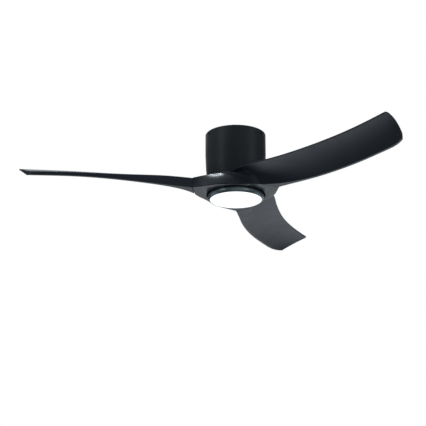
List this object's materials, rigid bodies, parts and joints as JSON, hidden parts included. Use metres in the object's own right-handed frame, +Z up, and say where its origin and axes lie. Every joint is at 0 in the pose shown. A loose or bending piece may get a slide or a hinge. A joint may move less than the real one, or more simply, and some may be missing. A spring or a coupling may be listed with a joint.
{
  "type": "ceiling fan with light",
  "caption": "Flush-mount black ceiling fan: round housing, lobed hub, long swept blades flowing out of the hub, and a round opal lamp under it.",
  "frame": {"origin": "centre of the ceiling plate's upper face, on the fan's axis", "axes": "+Z up, along the fan's axis and into the ceiling; +X to the right and +Y away from someone who looks at the fan from the front"},
  "size_m": [1.1093, 1.1384, 0.2136],
  "materials": {
    "satin_black": "fine moulded satin",
    "blade_black": "fine moulded satin, ABS",
    "bezel_black": "satin",
    "opal_acrylic": "frosted opal, lit from inside",
    "zinc_steel": "zinc plated",
    "bearing_steel": "ground",
    "cast_aluminium": "die cast",
    "lamination_steel": "stacked sheets",
    "enamelled_copper": "enamelled wire",
    "magnet": "sintered, coated",
    "controller_plastic": "moulded",
    "board_green": "solder mask",
    "terminal_cream": "moulded",
    "led_board_white": "white solder mask on an aluminium base",
    "wire_white": "insulation"
  },
  "bodies": {
    "frame": {"housing": "satin_black", "ceiling_plate": "zinc_steel", "motor_bracket": "zinc_steel", "bracket_bolt_1": "zinc_steel", "bracket_bolt_2": "zinc_steel", "bracket_bolt_3": "zinc_steel", "bracket_bolt_4": "zinc_steel", "housing_screw_1": "zinc_steel", "housing_screw_2": "zinc_steel", "housing_screw_3": "zinc_steel", "motor_shaft": "zinc_steel", "shaft_nut_upper": "zinc_steel", "shaft_nut_lower": "zinc_steel", "lamp_mount_plate": "zinc_steel", "lamp_nut": "zinc_steel", "lamp_screw_1": "zinc_steel", "lamp_screw_2": "zinc_steel", "lamp_screw_3": "zinc_steel", "upper_bearing_inner_race": "bearing_steel", "lower_bearing_inner_race": "bearing_steel", "stator_carrier": "cast_aluminium", "lamp_pan": "cast_aluminium", "stator_core": "lamination_steel", "stator_winding": "enamelled_copper", "controller_box": "controller_plastic", "controller_lid": "controller_plastic", "controller_board": "board_green", "terminal_block": "terminal_cream", "led_board": "led_board_white", "motor_lead": "wire_white", "lamp_lead": "wire_white"},
    "rotor": {"rotor_cover_top": "cast_aluminium", "rotor_cover_bottom": "cast_aluminium", "rotor_screw_1": "zinc_steel", "rotor_screw_2": "zinc_steel", "rotor_screw_3": "zinc_steel", "magnet_ring": "magnet", "blade_carrier": "cast_aluminium", "carrier_screw_1": "zinc_steel", "carrier_screw_2": "zinc_steel", "carrier_screw_3": "zinc_steel", "blade_screw_1": "zinc_steel", "blade_screw_2": "zinc_steel", "blade_screw_3": "zinc_steel", "blade_screw_4": "zinc_steel", "blade_screw_5": "zinc_steel", "blade_screw_6": "zinc_steel", "hub_shell": "satin_black", "hub_bottom_cover": "satin_black", "blade_1": "blade_black", "blade_2": "blade_black", "blade_3": "blade_black", "upper_bearing_outer_race": "bearing_steel", "lower_bearing_outer_race": "bearing_steel"},
    "upper_cage": {"upper_bearing_balls": "bearing_steel"},
    "lower_cage": {"lower_bearing_balls": "bearing_steel"},
    "lens_cap": {"lamp_bezel": "bezel_black", "diffuser": "opal_acrylic"}
  },
  "joints": [
    {"name": "rotor_spin", "type": "hinge", "parent": "frame", "child": "rotor", "pos_m": [0, 0, -0.11], "axis": [0, 0, 1], "continuous": true},
    {"name": "upper_cage_spin", "type": "hinge", "parent": "frame", "child": "upper_cage", "pos_m": [0, 0, -0.0875], "axis": [0, 0, 1], "continuous": true},
    {"name": "lower_cage_spin", "type": "hinge", "parent": "frame", "child": "lower_cage", "pos_m": [0, 0, -0.1385], "axis": [0, 0, 1], "continuous": true},
    {"name": "diffuser_twist", "type": "hinge", "parent": "frame", "child": "lens_cap", "pos_m": [0, 0, -0.2], "axis": [0, 0, 1], "range_deg": [0, 15]}
  ],
  "couplings": [
    {"joint": "upper_cage_spin", "follows": "rotor_spin", "ratio": 0.59},
    {"joint": "lower_cage_spin", "follows": "rotor_spin", "ratio": 0.59}
  ]
}
